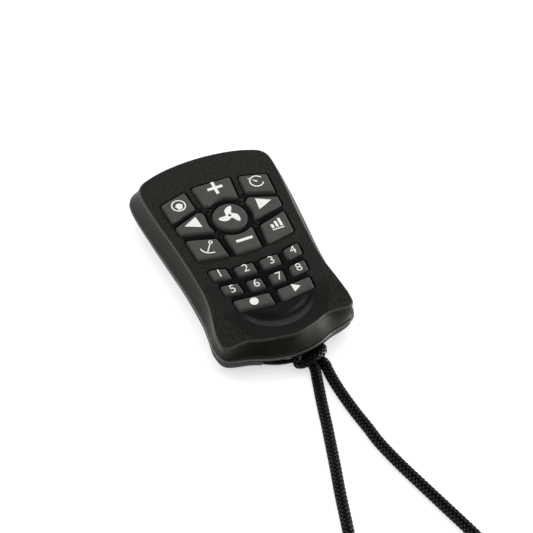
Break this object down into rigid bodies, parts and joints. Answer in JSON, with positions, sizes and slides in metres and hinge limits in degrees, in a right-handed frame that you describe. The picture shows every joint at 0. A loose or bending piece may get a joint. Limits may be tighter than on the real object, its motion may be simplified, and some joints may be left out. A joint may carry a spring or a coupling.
{
  "type": "hand controller",
  "caption": "Handheld wireless motor controller with a rubber keypad, a two-shell case sealed by a bead, a screwed battery door and a braided lanyard hitched to a bar.",
  "frame": {"origin": "centre of the controller's box on the surface it lies on, without the lanyard", "axes": "+Z out of the keypad face, +Y towards the arched upper end, +X to the right as the keys are read"},
  "size_m": [0.0702, 0.2695, 0.022],
  "materials": {
    "shell_plastic": "fine spark-eroded texture on the face, satin side walls",
    "bead_rubber": "satin moulded bead",
    "key_rubber": "matte silicone with pale printed symbols",
    "web_rubber": "matte silicone",
    "board": "solder mask",
    "film": "polyester film over metal domes",
    "chip": "moulded package",
    "cell_wrap": "printed sleeve",
    "steel": "plated",
    "bar_plastic": "smooth black bar",
    "cord": "braided polyester sheath",
    "tie": "hook-and-loop strap"
  },
  "bodies": {
    "case": {"front_shell": "shell_plastic", "rear_shell": "shell_plastic", "battery_door": "shell_plastic", "seal_bead": "bead_rubber", "keypad_web": "web_rubber", "battery_door_seal": "web_rubber", "dome_sheet": "film", "circuit_board": "board", "controller_chip": "chip", "radio_module": "steel", "antenna": "chip", "battery_1": "cell_wrap", "battery_2": "cell_wrap", "battery_contact_1": "steel", "battery_contact_2": "steel", "battery_spring_1": "steel", "battery_spring_2": "steel", "battery_door_screw_1": "steel", "battery_door_screw_2": "steel", "case_screw_1": "steel", "case_screw_2": "steel", "case_screw_3": "steel", "case_screw_4": "steel", "lanyard_bar": "bar_plastic", "lanyard_hitch": "cord", "lanyard_strand_left": "cord", "lanyard_strand_right": "cord", "lanyard_coil": "cord", "lanyard_tie": "tie"},
    "key_heading": {"key_heading": "key_rubber"},
    "key_speed_up": {"key_speed_up": "key_rubber"},
    "key_cruise": {"key_cruise": "key_rubber"},
    "key_left": {"key_left": "key_rubber"},
    "key_prop": {"key_prop": "key_rubber"},
    "key_right": {"key_right": "key_rubber"},
    "key_anchor": {"key_anchor": "key_rubber"},
    "key_speed_down": {"key_speed_down": "key_rubber"},
    "key_manual": {"key_manual": "key_rubber"},
    "key_1": {"key_1": "key_rubber"},
    "key_2": {"key_2": "key_rubber"},
    "key_3": {"key_3": "key_rubber"},
    "key_4": {"key_4": "key_rubber"},
    "key_5": {"key_5": "key_rubber"},
    "key_6": {"key_6": "key_rubber"},
    "key_7": {"key_7": "key_rubber"},
    "key_8": {"key_8": "key_rubber"},
    "key_record": {"key_record": "key_rubber"},
    "key_play": {"key_play": "key_rubber"}
  },
  "joints": [
    {"name": "press_heading", "type": "slide", "parent": "case", "child": "key_heading", "axis": [0, 0, -1], "range_m": [0, 0.0008], "stiffness_N_per_m": 2500},
    {"name": "press_speed_up", "type": "slide", "parent": "case", "child": "key_speed_up", "axis": [0, 0, -1], "range_m": [0, 0.0008], "stiffness_N_per_m": 2500},
    {"name": "press_cruise", "type": "slide", "parent": "case", "child": "key_cruise", "axis": [0, 0, -1], "range_m": [0, 0.0008], "stiffness_N_per_m": 2500},
    {"name": "press_left", "type": "slide", "parent": "case", "child": "key_left", "axis": [0, 0, -1], "range_m": [0, 0.0008], "stiffness_N_per_m": 2500},
    {"name": "press_prop", "type": "slide", "parent": "case", "child": "key_prop", "axis": [0, 0, -1], "range_m": [0, 0.0008], "stiffness_N_per_m": 2500},
    {"name": "press_right", "type": "slide", "parent": "case", "child": "key_right", "axis": [0, 0, -1], "range_m": [0, 0.0008], "stiffness_N_per_m": 2500},
    {"name": "press_anchor", "type": "slide", "parent": "case", "child": "key_anchor", "axis": [0, 0, -1], "range_m": [0, 0.0008], "stiffness_N_per_m": 2500},
    {"name": "press_speed_down", "type": "slide", "parent": "case", "child": "key_speed_down", "axis": [0, 0, -1], "range_m": [0, 0.0008], "stiffness_N_per_m": 2500},
    {"name": "press_manual", "type": "slide", "parent": "case", "child": "key_manual", "axis": [0, 0, -1], "range_m": [0, 0.0008], "stiffness_N_per_m": 2500},
    {"name": "press_1", "type": "slide", "parent": "case", "child": "key_1", "axis": [0, 0, -1], "range_m": [0, 0.0008], "stiffness_N_per_m": 2500},
    {"name": "press_2", "type": "slide", "parent": "case", "child": "key_2", "axis": [0, 0, -1], "range_m": [0, 0.0008], "stiffness_N_per_m": 2500},
    {"name": "press_3", "type": "slide", "parent": "case", "child": "key_3", "axis": [0, 0, -1], "range_m": [0, 0.0008], "stiffness_N_per_m": 2500},
    {"name": "press_4", "type": "slide", "parent": "case", "child": "key_4", "axis": [0, 0, -1], "range_m": [0, 0.0008], "stiffness_N_per_m": 2500},
    {"name": "press_5", "type": "slide", "parent": "case", "child": "key_5", "axis": [0, 0, -1], "range_m": [0, 0.0008], "stiffness_N_per_m": 2500},
    {"name": "press_6", "type": "slide", "parent": "case", "child": "key_6", "axis": [0, 0, -1], "range_m": [0, 0.0008], "stiffness_N_per_m": 2500},
    {"name": "press_7", "type": "slide", "parent": "case", "child": "key_7", "axis": [0, 0, -1], "range_m": [0, 0.0008], "stiffness_N_per_m": 2500},
    {"name": "press_8", "type": "slide", "parent": "case", "child": "key_8", "axis": [0, 0, -1], "range_m": [0, 0.0008], "stiffness_N_per_m": 2500},
    {"name": "press_record", "type": "slide", "parent": "case", "child": "key_record", "axis": [0, 0, -1], "range_m": [0, 0.0008], "stiffness_N_per_m": 2500},
    {"name": "press_play", "type": "slide", "parent": "case", "child": "key_play", "axis": [0, 0, -1], "range_m": [0, 0.0008], "stiffness_N_per_m": 2500}
  ]
}
